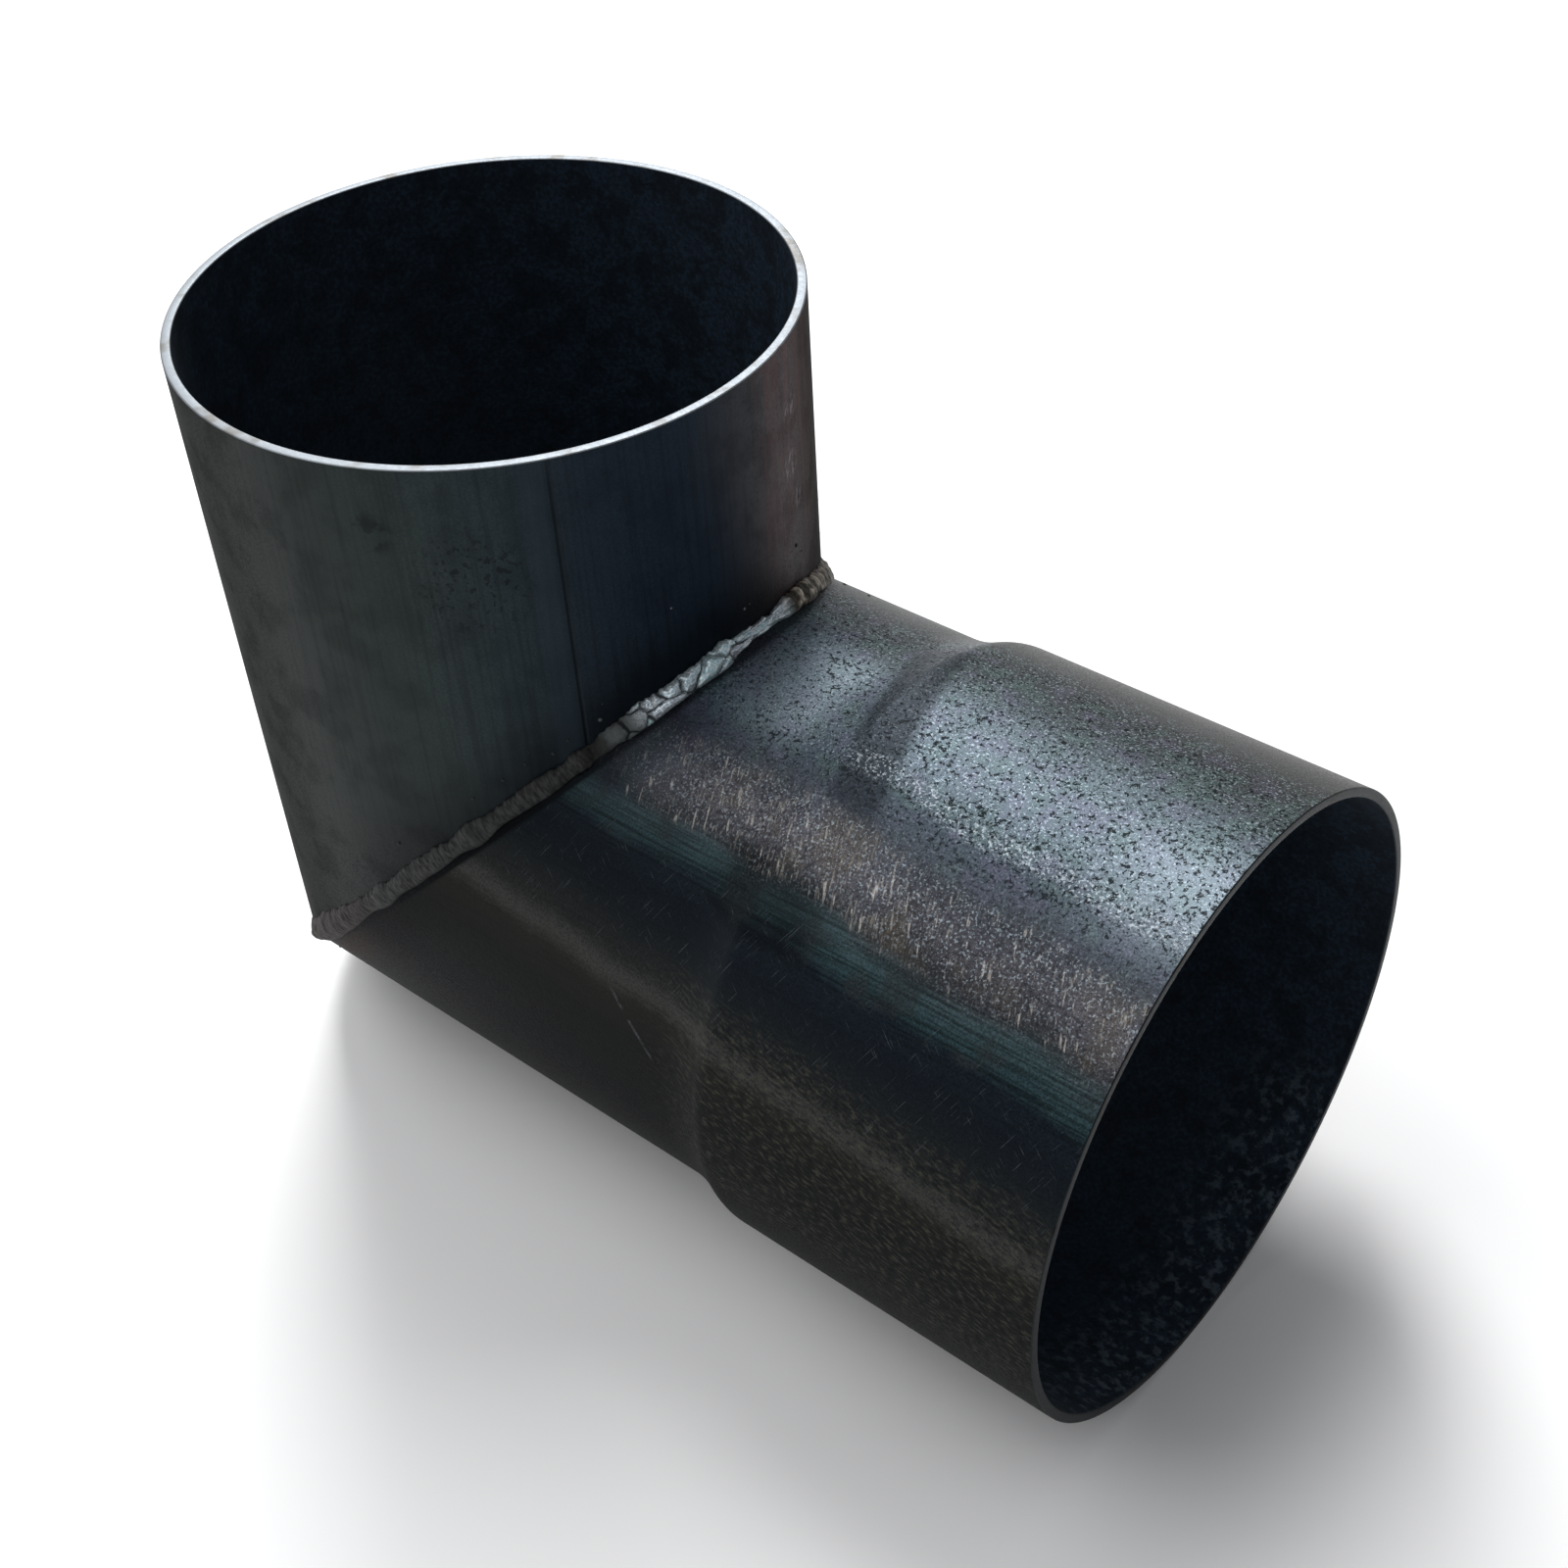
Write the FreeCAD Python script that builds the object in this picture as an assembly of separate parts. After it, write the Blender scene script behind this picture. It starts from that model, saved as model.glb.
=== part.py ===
import FreeCAD, Part
import math
import os

# Mitred flue pipe elbow, all sizes in millimetres.
# Two lengths of thin steel tube are cut at 45 degrees and welded into a square corner.
# The upright leg ends plain, as a spigot. The lying leg is swaged out into a socket that takes
# the spigot of the next pipe. The origin is the middle of the socket's mouth, +X points out of
# the socket and +Z points out of the spigot.

# Tube
flue_bore = 150.0            # inside diameter of the plain tube
tube_wall = 2.5
lip_chamfer = 0.45           # taken off both edges of each open end when it was deburred

# Legs, measured from the point where their centre lines cross
spigot_reach = 146.0
socket_reach = 218.0

# Socket swaged on the lying leg
socket_depth = 94.0          # straight part, from the mouth to the shoulder
shoulder_length = 17.0
slip_clearance = 1.8         # radial gap round a spigot pushed into the socket

# Rolled seam of the upright tube
seam_width = 0.9
seam_depth = 0.25
seam_turn = -35.0            # degrees round the leg, from the lying leg's side
seam_stop = 4.0              # the seam is dressed flush this far below the rim

# Weld round the mitre
root_gap = 1.6               # between the two cut ends, filled with weld metal
bead_radius = 3.1            # of the near-round section that the bead is laid to
bead_sides = 10              # flats round that section
bead_crown = 1.3             # height of the bead above the tubes
corner_fill = 2.4            # how much further out the bead stands in the inside corner
ripple_pitch = 9.0
ripple_height = 0.55
ripple_crest = 0.7           # where the crest lies, as a share of the way to the next ripple
restart_turn = -34.0         # degrees round the mitre where one run stops and the next starts
restart_dip = 0.8            # how far the crater there lies below the rest of the bead
tie_in_turns = (-115.0, 22.0)  # degrees round the mitre where one run overlaps the next
tie_in_length = 26.0         # over which the bead is fuller there
tie_in_swell = 1.2

# Worked out from the sizes above
bore_r = flue_bore / 2
tube_r = bore_r + tube_wall
socket_bore_r = tube_r + slip_clearance
socket_r = socket_bore_r + tube_wall
shoulder_end = socket_reach - socket_depth
shoulder_start = shoulder_end - shoulder_length
overrun = 2 * socket_r       # the uncut tubes reach this far back past the crossing
block_side = 3 * (spigot_reach + socket_reach)  # of the blocks that make the mitre cuts


CROSSING = FreeCAD.Vector(0, 0, 0)
ALONG_SPIGOT = FreeCAD.Vector(0, 0, 1)
ALONG_SOCKET = FreeCAD.Vector(1, 0, 0)
TO_MOUTH = FreeCAD.Vector(-socket_reach, 0, 0)


def mitre_block(along, beside, gap):
    """Everything on one leg's side of the mitre, set back by half the gap."""
    away = (along - beside).normalize()
    block = Part.makeBox(block_side, block_side, block_side)
    block.translate(FreeCAD.Vector(-block_side / 2, -block_side / 2, 0))
    turn = FreeCAD.Placement(CROSSING, FreeCAD.Rotation(ALONG_SPIGOT, away))
    block.transformShape((FreeCAD.Placement(away * (gap / 2), FreeCAD.Rotation()) * turn).toMatrix())
    return block


def mitred(leg, along, beside, gap):
    """A leg cut at the mitre. The leg reaches from well behind the crossing to its open end."""
    return leg.common(mitre_block(along, beside, gap))


def bar(radius, along, reach):
    return Part.makeCylinder(radius, reach + overrun, along * -overrun, along)


def lip(end, inner, outer, point):
    """The deburred open end of a wall, from its bore round to its outside."""
    corners = [
        point(end - lip_chamfer, inner),
        point(end, inner + lip_chamfer),
        point(end, outer - lip_chamfer),
        point(end - lip_chamfer, outer),
    ]
    return [line(start, stop) for start, stop in zip(corners, corners[1:])]


def line(start, end):
    return Part.LineSegment(start, end).toShape()


def turned(edges, along):
    """The closed outline turned once round a leg's centre line."""
    outline = Part.Wire(Part.__sortEdges__(edges))
    return Part.makeSolid(Part.Face(outline).revolve(CROSSING, along, 360))


def plain_tube():
    """Straight tube with a deburred rim at its open end."""
    def point(distance, radius):
        return ALONG_SPIGOT * distance + ALONG_SOCKET * radius

    back = -overrun
    rim = spigot_reach - lip_chamfer
    edges = lip(spigot_reach, bore_r, tube_r, point)
    edges.append(line(point(rim, tube_r), point(back, tube_r)))
    edges.append(line(point(back, tube_r), point(back, bore_r)))
    edges.append(line(point(back, bore_r), point(rim, bore_r)))
    return turned(edges, ALONG_SPIGOT)


def flare(small, large, point):
    """The shoulder: it leaves the tube smoothly and meets the socket in a crisp corner."""
    rise = large - small
    flare_r = (shoulder_length ** 2 + rise ** 2) / (2 * rise)
    half = math.asin(shoulder_length / flare_r) / 2
    middle = point(shoulder_start + flare_r * math.sin(half), small + flare_r * (1 - math.cos(half)))
    return Part.Arc(point(shoulder_start, small), middle, point(shoulder_end, large)).toShape()


def swaged_tube():
    """Tube whose end is opened out into the socket."""
    def point(distance, radius):
        return ALONG_SOCKET * distance + ALONG_SPIGOT * radius

    back = -overrun
    mouth = socket_reach - lip_chamfer
    edges = lip(socket_reach, socket_bore_r, socket_r, point)
    edges.append(line(point(mouth, socket_r), point(shoulder_end, socket_r)))
    edges.append(flare(tube_r, socket_r, point))
    edges.append(line(point(shoulder_start, tube_r), point(back, tube_r)))
    edges.append(line(point(back, tube_r), point(back, bore_r)))
    edges.append(line(point(back, bore_r), point(shoulder_start, bore_r)))
    edges.append(flare(bore_r, socket_bore_r, point))
    edges.append(line(point(shoulder_end, socket_bore_r), point(mouth, socket_bore_r)))
    return turned(edges, ALONG_SOCKET)


def seam_groove():
    """The shallow line left where the rolled tube's own seam was dressed."""
    groove = Part.makeBox(2 * seam_depth, seam_width, spigot_reach - seam_stop + overrun)
    groove.translate(FreeCAD.Vector(tube_r - seam_depth, -seam_width / 2, -overrun))
    groove.rotate(CROSSING, ALONG_SPIGOT, seam_turn)
    return groove


def spigot_leg():
    return mitred(plain_tube().cut(seam_groove()), ALONG_SPIGOT, ALONG_SOCKET, root_gap)


def socket_leg():
    return mitred(swaged_tube(), ALONG_SOCKET, ALONG_SPIGOT, root_gap)


def mitre_edge(turn):
    """A point on the outside edge of the mitre, and the directions along and out of that edge."""
    angle = math.radians(turn)
    edge = FreeCAD.Vector(tube_r * math.cos(angle), tube_r * math.sin(angle), tube_r * math.cos(angle))
    ahead = FreeCAD.Vector(-math.sin(angle), math.cos(angle), -math.sin(angle)).normalize()
    out = ahead.cross((ALONG_SOCKET - ALONG_SPIGOT).normalize())
    if out.dot(edge) < 0:
        out = -out
    return edge, ahead, out


def bead_size(turn, crest):
    """Radius of the bead's section and how far its centre lies out from the mitre's edge."""
    inside_corner = max(0.0, math.cos(math.radians(turn))) ** 4
    centre = bead_crown - bead_radius + corner_fill * inside_corner
    radius = bead_radius + (ripple_height if crest else 0.0)
    for tie_in in tie_in_turns:
        radius += tie_in_swell * max(0.0, 1 - 2 * mitre_distance(turn, tie_in) / tie_in_length)
    if mitre_distance(turn, restart_turn) < ripple_pitch / 2:
        radius -= restart_dip
    return radius, centre


def mitre_distance(turn, other):
    return math.radians(abs(turn - other)) * tube_r


def ripple_turns(hand):
    """Turns round the mitre of the sections of one run, from the heel to the inside corner."""
    count = round(math.pi * tube_r * math.sqrt(1.5) / ripple_pitch)
    turns = []
    for index in range(count):
        turns.append((180.0 * (1 - index / count), False))
        turns.append((180.0 * (1 - (index + ripple_crest) / count), True))
    turns.append((0.0, False))
    return [(hand * turn, crest) for turn, crest in turns]


def bead_run(hand):
    """One run of weld on one side of the elbow, laid as overlapping ripples."""
    sections = []
    for turn, crest in ripple_turns(hand):
        edge, ahead, out = mitre_edge(turn)
        radius, centre = bead_size(turn, crest)
        beside = ahead.cross(out)
        flats = [2 * math.pi * (side + 0.5) / bead_sides for side in range(bead_sides + 1)]
        corners = [edge + out * (centre + radius * math.cos(a)) + beside * (radius * math.sin(a)) for a in flats]
        sections.append(Part.makePolygon(corners))
    return Part.makeLoft(sections, True, True)


def mitre_weld():
    """Weld metal: it fills the root gap flush with the bore and stands proud outside."""
    legs = [
        mitred(bar(tube_r, ALONG_SPIGOT, spigot_reach), ALONG_SPIGOT, ALONG_SOCKET, root_gap),
        mitred(bar(tube_r, ALONG_SOCKET, socket_reach), ALONG_SOCKET, ALONG_SPIGOT, root_gap),
    ]
    bores = [
        mitred(bar(bore_r, ALONG_SPIGOT, spigot_reach), ALONG_SPIGOT, ALONG_SOCKET, 0),
        mitred(bar(bore_r, ALONG_SOCKET, socket_reach), ALONG_SOCKET, ALONG_SPIGOT, 0),
    ]
    runs = [bead_run(hand).cut(legs + bores) for hand in (1, -1)]
    return runs[0].fuse(runs[1])


def main():
    os.makedirs("parts", exist_ok=True)
    nodes = {"spigot_leg": spigot_leg(), "socket_leg": socket_leg(), "mitre_weld": mitre_weld()}
    for name, shape in nodes.items():
        shape.translate(TO_MOUTH)
        box = shape.BoundBox
        print(name, shape.ShapeType, len(shape.Solids), shape.isValid(), round(shape.Volume),
              [round(v, 2) for v in (box.XMin, box.YMin, box.ZMin, box.XMax, box.YMax, box.ZMax)])
        shape.exportStep("parts/" + name + ".step")


main()
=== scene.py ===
import functools
import math

import bpy
import numpy as np
from mathutils import Matrix, Vector


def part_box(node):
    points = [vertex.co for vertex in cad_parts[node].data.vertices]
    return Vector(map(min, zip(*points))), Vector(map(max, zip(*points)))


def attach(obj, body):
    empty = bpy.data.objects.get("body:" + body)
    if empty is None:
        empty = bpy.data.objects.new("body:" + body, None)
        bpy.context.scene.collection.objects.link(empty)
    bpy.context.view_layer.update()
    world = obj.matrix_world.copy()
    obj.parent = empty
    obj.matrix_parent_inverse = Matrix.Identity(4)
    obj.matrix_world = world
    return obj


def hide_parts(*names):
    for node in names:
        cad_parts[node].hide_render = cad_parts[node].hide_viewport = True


MM = 0.001

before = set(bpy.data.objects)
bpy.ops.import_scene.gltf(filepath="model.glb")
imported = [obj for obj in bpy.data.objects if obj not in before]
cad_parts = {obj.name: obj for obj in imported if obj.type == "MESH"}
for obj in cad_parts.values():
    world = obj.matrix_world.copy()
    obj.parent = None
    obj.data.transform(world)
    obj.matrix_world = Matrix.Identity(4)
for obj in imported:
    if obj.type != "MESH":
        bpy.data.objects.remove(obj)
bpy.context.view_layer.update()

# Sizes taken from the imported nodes, in metres
spigot_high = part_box("spigot_leg")[1]
socket_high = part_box("socket_leg")[1]
TUBE_R = spigot_high.y
SOCKET_R = socket_high.y
MOUTH_X = socket_high.x
CROSSING_X = spigot_high.x - TUBE_R
SPIGOT_REACH = spigot_high.z
SOCKET_REACH = MOUTH_X - CROSSING_X
CROSSING = Vector((CROSSING_X, 0, 0))

# Sizes that the boxes don't give
WALL = 2.5 * MM
SOCKET_DEPTH = 94.0 * MM
SHOULDER_LENGTH = 17.0 * MM
SHOULDER_ROUND = 2.2 * MM        # of the corner where the shoulder meets the socket
ROOT_GAP = 1.6 * MM
LIP = 0.4 * MM                   # round on the edges of the rims
SEAM_TURN = math.radians(-35.0)
SEAM_WIDTH = 0.9 * MM
SEAM_DEPTH = 0.22 * MM
SEAM_STOP = 4.0 * MM
SEAM_FADE = 3.0 * MM
BORE_R = TUBE_R - WALL
SOCKET_BORE_R = SOCKET_R - WALL
SHOULDER_END = SOCKET_REACH - SOCKET_DEPTH
SHOULDER_START = SHOULDER_END - SHOULDER_LENGTH
MITRE_SETBACK = ROOT_GAP / math.sqrt(2)

# Weld, with its turns in degrees round the mitre, from the inside of the corner
BEAD_WIDTH = 2.9 * MM            # from the middle of the bead to each toe
BEAD_CROWN = 1.5 * MM
BEAD_ROOT = 2.3 * MM             # how deep it reaches into the root gap
PADS = (-28.0, -3.0)             # where the bead lies in overlapping pads
STREAKS = (-5.0, 9.0)            # where it was drawn out thin
CRUST = (9.0, 62.0)              # where it is a rough crust
RESTART_TURN = -34.0
HEEL_TURNS = (-106.0, 150.0)     # where one run overlaps the next

# How finely the meshes are laid
SQUARE_FROM = 82.0 * MM          # rows of points lie square to a leg from here to its rim
MITRE_ROWS = 34                  # rows from the mitre to there
LEG_STEP = 0.75                  # degrees between the columns of points
SEAM_COLUMNS = 23
LIP_STEPS = 6
FLARE_STEPS = 16
CORNER_STEPS = 9
BEAD_STEPS = 1700                # sections round the mitre
BEAD_ROWS = 27                   # points over the bead in each section
ROOT_ROWS = 4                    # points under it

# Camera fitted to the photo, with its place in outside radii of the tube from the crossing
PHOTO_PX = 1600
FOCAL_PX = 2201.16
SENSOR_WIDTH = 36.0              # in mm, as Blender's camera has it
CAMERA_PLACE = Vector((4.6799, -3.9970, 5.0659))
CAMERA_RIGHT = Vector((0.77309, 0.63217, -0.05182))
CAMERA_BACK = Vector((0.5049, -0.56388, 0.65354))

FLOOR_HALF = 6.0
LAMPS_AIM = CROSSING + Vector((0.1, 0, 0))

# Kinds of node that are used often, each with its settings
PLUS, MINUS, TIMES, DIVIDED, POWER, LARGER, SIZE_OF, FRACTION, ANGLE, ROOT = (
    ("ShaderNodeMath", {"operation": operation}) for operation in (
        "ADD", "SUBTRACT", "MULTIPLY", "DIVIDE", "POWER", "MAXIMUM", "ABSOLUTE", "FRACT", "ARCTAN2", "SQRT"))
RANGE = "ShaderNodeMapRange"
STEP = (RANGE, {"interpolation_type": "SMOOTHSTEP"})
BLEND = ("ShaderNodeMix", {"data_type": "RGBA"})
NOISE = "ShaderNodeTexNoise"
CELLS = "ShaderNodeTexVoronoi"
JOIN = "ShaderNodeCombineXYZ"
SPLIT = "ShaderNodeSeparateXYZ"


def linear(code):
    """An sRGB hex code as a linear colour."""
    channels = [int(code[i:i + 2], 16) / 255 for i in (1, 3, 5)]
    return tuple(c / 12.92 if c <= 0.04045 else ((c + 0.055) / 1.055) ** 2.4 for c in channels) + (1.0,)


def of_size(size_mm):
    """The scale of a noise whose grains are about that size."""
    return 1 / (size_mm * MM)


def in_use(sockets, key):
    """A socket by its name or number, among those that the node's settings leave in use."""
    live = [s for s in sockets if s.enabled]
    return live[key] if isinstance(key, int) else next(s for s in live if s.name == key)


class Graph:
    """A node tree being built."""

    def __init__(self, tree):
        self.tree = tree

    def add(self, kind, *values, output=0, **named):
        """Adds a node. Values go to its inputs in order or, after a capitalised name, to the input
        of that name, and a socket is linked. Other names are settings. Returns an output."""
        kind, preset = kind if isinstance(kind, tuple) else (kind, {})
        node = self.tree.nodes.new(kind)
        inputs = dict(enumerate(values))
        for name, value in (preset | named).items():
            if name[0].isupper():
                inputs[name.replace("_", " ")] = value
            else:
                setattr(node, name, value)
        for key, value in inputs.items():
            target = in_use(node.inputs, key)
            if isinstance(value, bpy.types.NodeSocket):
                self.tree.links.new(value, target)
            else:
                target.default_value = value
        return in_use(node.outputs, output) if node.outputs else None

    def chain(self, kind, *values):
        """The values joined two at a time, as in a sum or a product."""
        return functools.reduce(functools.partial(self.add, kind), values)

    def times(self, *values):
        return self.chain(TIMES, *values)


class Surface(Graph):
    """A material's node tree, with the patterns that several materials share."""

    def __init__(self, name):
        self.material = bpy.data.materials.new(name)
        self.material.use_nodes = True
        super().__init__(self.material.node_tree)
        self.tree.nodes.clear()

    @functools.cached_property
    def where(self):
        """The place on the piece, in metres. The node is added when it is first asked for."""
        return self.add("ShaderNodeTexCoord", output="Object")

    def patches(self, size_mm, low, high, detail=3.0, roughness=0.55):
        """Patches of about that size: 0 where the noise is at low, rising to 1 at high."""
        return self.add(STEP, self.add(NOISE, self.where, of_size(size_mm), detail, roughness), low, high)

    def waver(self, size_mm, amount):
        """A gentle swing to either side of 0, over lengths of about that size."""
        noise = self.add(NOISE, self.where, of_size(size_mm), 3.0, 0.55)
        return self.times(self.add(MINUS, noise, 0.5), amount)

    def band(self, value, centre, half, soft):
        """1 within half of centre, falling to 0 over soft beyond it."""
        away = self.add(SIZE_OF, self.add(MINUS, value, centre))
        return self.add(STEP, away, half, half + soft, 1.0, 0.0)

    def relief(self, *layers):
        """The normal under several layers of fine relief: (height, its depth in mm, strength)."""
        below = {}
        for height, depth_mm, strength in layers:
            normal = self.add(
                "ShaderNodeBump", Height=height, Distance=depth_mm * MM, Strength=strength, **below)
            below = {"Normal": normal}
        return normal

    def finish(self, **inputs):
        self.add("ShaderNodeOutputMaterial", self.add("ShaderNodeBsdfPrincipled", **inputs))
        return self.material


class Leg(Surface):
    """Mill scale on one leg, laid out by where a point is on that leg: its turn round the tube
    in degrees from the inside of the corner, its distance from the crossing and how far away it
    is from the weld, both in mm. The colour is built up in layers."""

    per_degree = math.radians(1) * TUBE_R / MM    # mm round the tube

    def __init__(self, name, along):
        super().__init__(name)
        x, y, z = self.add(SPLIT, self.where).node.outputs
        x = self.add(MINUS, x, CROSSING_X)
        beside, ahead = (x, z) if along == "z" else (z, x)
        self.turn = self.times(self.add(ANGLE, y, beside), math.degrees(1))
        self.distance = self.times(ahead, 1 / MM)
        self.away = self.times(self.add(MINUS, ahead, beside), 1 / MM / math.sqrt(2))
        self.unrolled = self.add(JOIN, ahead, self.times(self.turn, self.per_degree * MM))
        self.colour = None

    def stretched(self, along_mm, round_mm, slant=0.0, seed=0.0, detail=2.0):
        """Noise in marks of that length along the tube and round it, turned by slant degrees."""
        mapped = self.add(
            "ShaderNodeMapping", self.unrolled, (seed, seed, 0), (0, 0, math.radians(slant)),
            (along_mm * MM, round_mm * MM, 1), vector_type="TEXTURE")
        return self.add(NOISE, mapped, 1.0, detail)

    def marks(self, along_mm, round_mm, slant, seed, low, high, detail=2.0):
        """Marks of that length along the tube and round it: 0 where the noise is at low, 1 at high."""
        return self.add(STEP, self.stretched(along_mm, round_mm, slant, seed, detail), low, high)

    def zones(self, value, low, high, stops):
        """A colour for each value from low to high, between the stops (value, hex)."""
        ramp = self.add("ShaderNodeValToRGB", self.add(RANGE, value, low, high))
        elements = ramp.node.color_ramp.elements
        while len(elements) < len(stops):
            elements.new(0.5)
        for element, (at, code) in zip(elements, stops):
            element.position = (at - low) / (high - low)
            element.color = linear(code)
        return ramp

    def spot(self, turn, distance, radius):
        """1 at a place on the leg, given as its turn and its distance, falling to 0 round it."""
        aside = self.times(self.add(MINUS, self.turn, turn), self.per_degree)
        ahead = self.add(MINUS, self.distance, distance)
        away = self.add(ROOT, self.add(PLUS, self.add(POWER, aside, 2.0), self.add(POWER, ahead, 2.0)))
        return self.add(STEP, away, radius * 0.6, radius * 1.3, 1.0, 0.0)

    def layer(self, mask, code, amount=1.0):
        self.colour = self.add(BLEND, self.times(mask, amount), self.colour, linear(code))

    def darker(self, mask, amount):
        self.layer(mask, "#000000", amount)

    def darker_grain(self, grain, amount):
        """Takes the colour down between the grains."""
        shade = self.add(BLEND, amount, self.colour, linear("#000000"))
        self.colour = self.add(BLEND, self.add(STEP, grain, 0.35, 0.65), shade, self.colour)


def run_zones(s, turn):
    """The colours round the lying tube, from the dark underside over navy, teal and a worn band
    to the sheen on top."""
    return s.zones(turn, -180, 180, [
        (-180, "#1c1d1e"), (-130, "#171814"), (-100, "#0c0b0b"), (-84, "#151512"), (-76, "#24231e"),
        (-72.5, "#41413e"), (-69, "#262725"), (-66, "#212323"), (-61, "#161b1e"), (-56, "#10161d"),
        (-50.5, "#141c24"), (-47.5, "#2c4044"), (-43.5, "#3c4d51"), (-41, "#3c3c3f"), (-34, "#5a585f"),
        (-27, "#484c54"), (-20.5, "#49535d"), (-14.5, "#5e6a73"), (0, "#5f6b72"), (9, "#4b5254"),
        (17, "#3a3c3b"), (35, "#33302d"), (80, "#2a2725"), (110, "#20272c"), (135, "#262a29"),
        (158, "#22221d"), (180, "#1c1d1e")])


def rolling_lines(s, turn):
    """Lines along the tube, strongest in the teal band."""
    lines = s.stretched(30, 0.8, 0.6, 0.0, 4.0)
    s.darker(s.times(s.add(STEP, lines, 0.42, 0.6), s.band(turn, -46, 4, 3)), 0.5)
    s.layer(s.times(s.patches(12, 0.5, 0.62), s.band(turn, -45, 4, 3)), "#2b2e30", 0.6)
    s.darker(s.add(STEP, lines, 0.5, 0.75), 0.3)
    s.darker(s.times(s.band(turn, -46, 5, 3), s.band(s.distance, 126, 9, 12)), 0.55)


def swaging_rubs(s, turn, coarse):
    """Light rubs round the tube, from where it slid in the swaging tool."""
    worn_band = s.times(s.band(turn, -34.5, 5.0, 4.0), s.add(STEP, s.distance, 76, 96))
    worn = s.add(STEP, s.distance, 148, 172, 1.0, 0.35)
    short = s.times(s.marks(0.6, 2.4, 14, 4.0, 0.57, 0.73), s.patches(10, 0.40, 0.56, 2.0))
    middling = s.times(s.marks(0.7, 4.0, 17, 8.0, 0.53, 0.66), s.patches(8, 0.42, 0.54, 2.0))
    long = s.times(s.marks(0.9, 7.0, 20, 0.0, 0.58, 0.68), s.patches(7, 0.44, 0.52, 2.0))
    s.layer(s.times(worn_band, s.add(STEP, coarse, 0.5, 0.4)), "#2b2a2e", 0.6)
    s.darker(s.times(worn_band, s.band(s.distance, 178, 18, 10)), 0.3)
    s.layer(s.times(short, worn_band, worn), "#aaa8a8", 0.6)
    s.layer(s.times(middling, worn_band, worn), "#98948c", 0.5)
    s.layer(s.times(long, s.band(turn, -35, 6, 2)), "#c0bbb4", 0.6)
    s.layer(s.times(worn_band, s.patches(16, 0.5, 0.66, 2.0)), "#574c38", 0.3)


def flecks_and_scratches(s, turn):
    """Light and dark flecks low on the socket, short cross scratches in the navy band, and one
    long scratch that the handling left below it."""
    low_side = s.times(s.band(turn, -84, 16, 8), s.add(STEP, s.distance, 95, 130))
    flecks = s.stretched(2.4, 0.8, -12, 1.0, 4.0)
    s.layer(s.times(low_side, s.add(STEP, flecks, 0.5, 0.66)), "#4b4a40", 0.6)
    s.darker(s.times(low_side, s.add(STEP, flecks, 0.48, 0.38)), 0.5)
    scratches = s.add(LARGER, s.marks(9, 0.22, 62, 2.0, 0.66, 0.74), s.marks(7, 0.2, -38, 6.0, 0.67, 0.75))
    s.layer(s.times(scratches, s.band(turn, -58, 10, 6)), "#5c646a", 0.6)
    # the long scratch's middle, in mm round the tube and along it, and the way across it
    middle_round, middle_along = -97.1, 92.4
    across_round, across_along = 0.73, 0.68
    aside = s.times(s.add(MINUS, s.times(s.turn, s.per_degree), middle_round), across_round)
    off_line = s.add(PLUS, aside, s.times(s.add(MINUS, s.distance, middle_along), across_along))
    broken = s.patches(3, 0.36, 0.52, 2.0)
    s.layer(s.times(s.band(off_line, 0, 0.2, 0.4), s.band(s.distance, 99, 6, 2), broken), "#5a5d5f", 0.5)


def burnished_top(s, turn, shoulder_shade):
    """The top that handling burnished: green and lilac casts of the oxide, two lighter places of
    painted sheen, pits, and painted glints that thin out just below the sheen. The strip on the
    shoulder that it is given is painted shade. Returns the pits and the glints."""
    on_top = s.band(turn, -3, 17, 12)
    cast = s.add(NOISE, s.where, of_size(7), 2.0, 0.55)
    s.layer(s.times(on_top, s.add(STEP, cast, 0.52, 0.64)), "#587069", 0.3)
    s.layer(s.times(on_top, s.add(STEP, cast, 0.48, 0.36)), "#68627a", 0.3)
    # painted shade: a dark strip across the shoulder's corner
    s.layer(shoulder_shade, "#20252b", 0.85)
    # painted sheen: two lighter patches on top, one near the weld and one towards the mouth
    far = s.times(s.band(s.turn, -14, 5, 10), s.add(STEP, s.distance, 180, 212))
    near = s.times(s.band(s.turn, -6, 7, 9), s.band(s.distance, 98, 7, 12))
    s.layer(s.add(LARGER, far, s.times(near, 0.9)), "#a9b8c3", 0.32)
    crowd = s.add(STEP, s.add(NOISE, s.where, of_size(14), 3.0, 0.55), 0.3, 0.7, 0.42, 0.47)
    deep = s.add(MINUS, crowd, s.add(NOISE, s.where, of_size(1.15), 3.0, 0.62, Distortion=0.5))
    pits = s.times(s.add(STEP, deep, 0.0, 0.05), on_top, s.add(STEP, shoulder_shade, 0.0, 1.0, 1.0, 0.7))
    s.darker(pits, 0.85)
    smooth = s.add(MINUS, 1.0, s.times(s.band(turn, -24, 2.2, 2.6), 0.7))
    partly = s.add(STEP, shoulder_shade, 0.0, 1.0, 1.0, 0.4)
    # painted glints: light specks in the colour, fewer in the strip of painted shade and just below the sheen
    glints = s.times(s.patches(0.62, 0.55, 0.66, 2.0), s.band(turn, -8, 26, 12), partly, smooth)
    s.layer(glints, "#b9c8d2", 0.42)
    # a row of painted glints below the sheen, past the shoulder
    painted_glint_row = s.times(s.patches(0.8, 0.54, 0.62, 2.0), s.band(turn, -18, 1.0, 1.8))
    s.layer(s.times(painted_glint_row, s.add(STEP, s.distance, 118, 134)), "#d8e2ea", 0.5)
    return pits, glints


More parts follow.
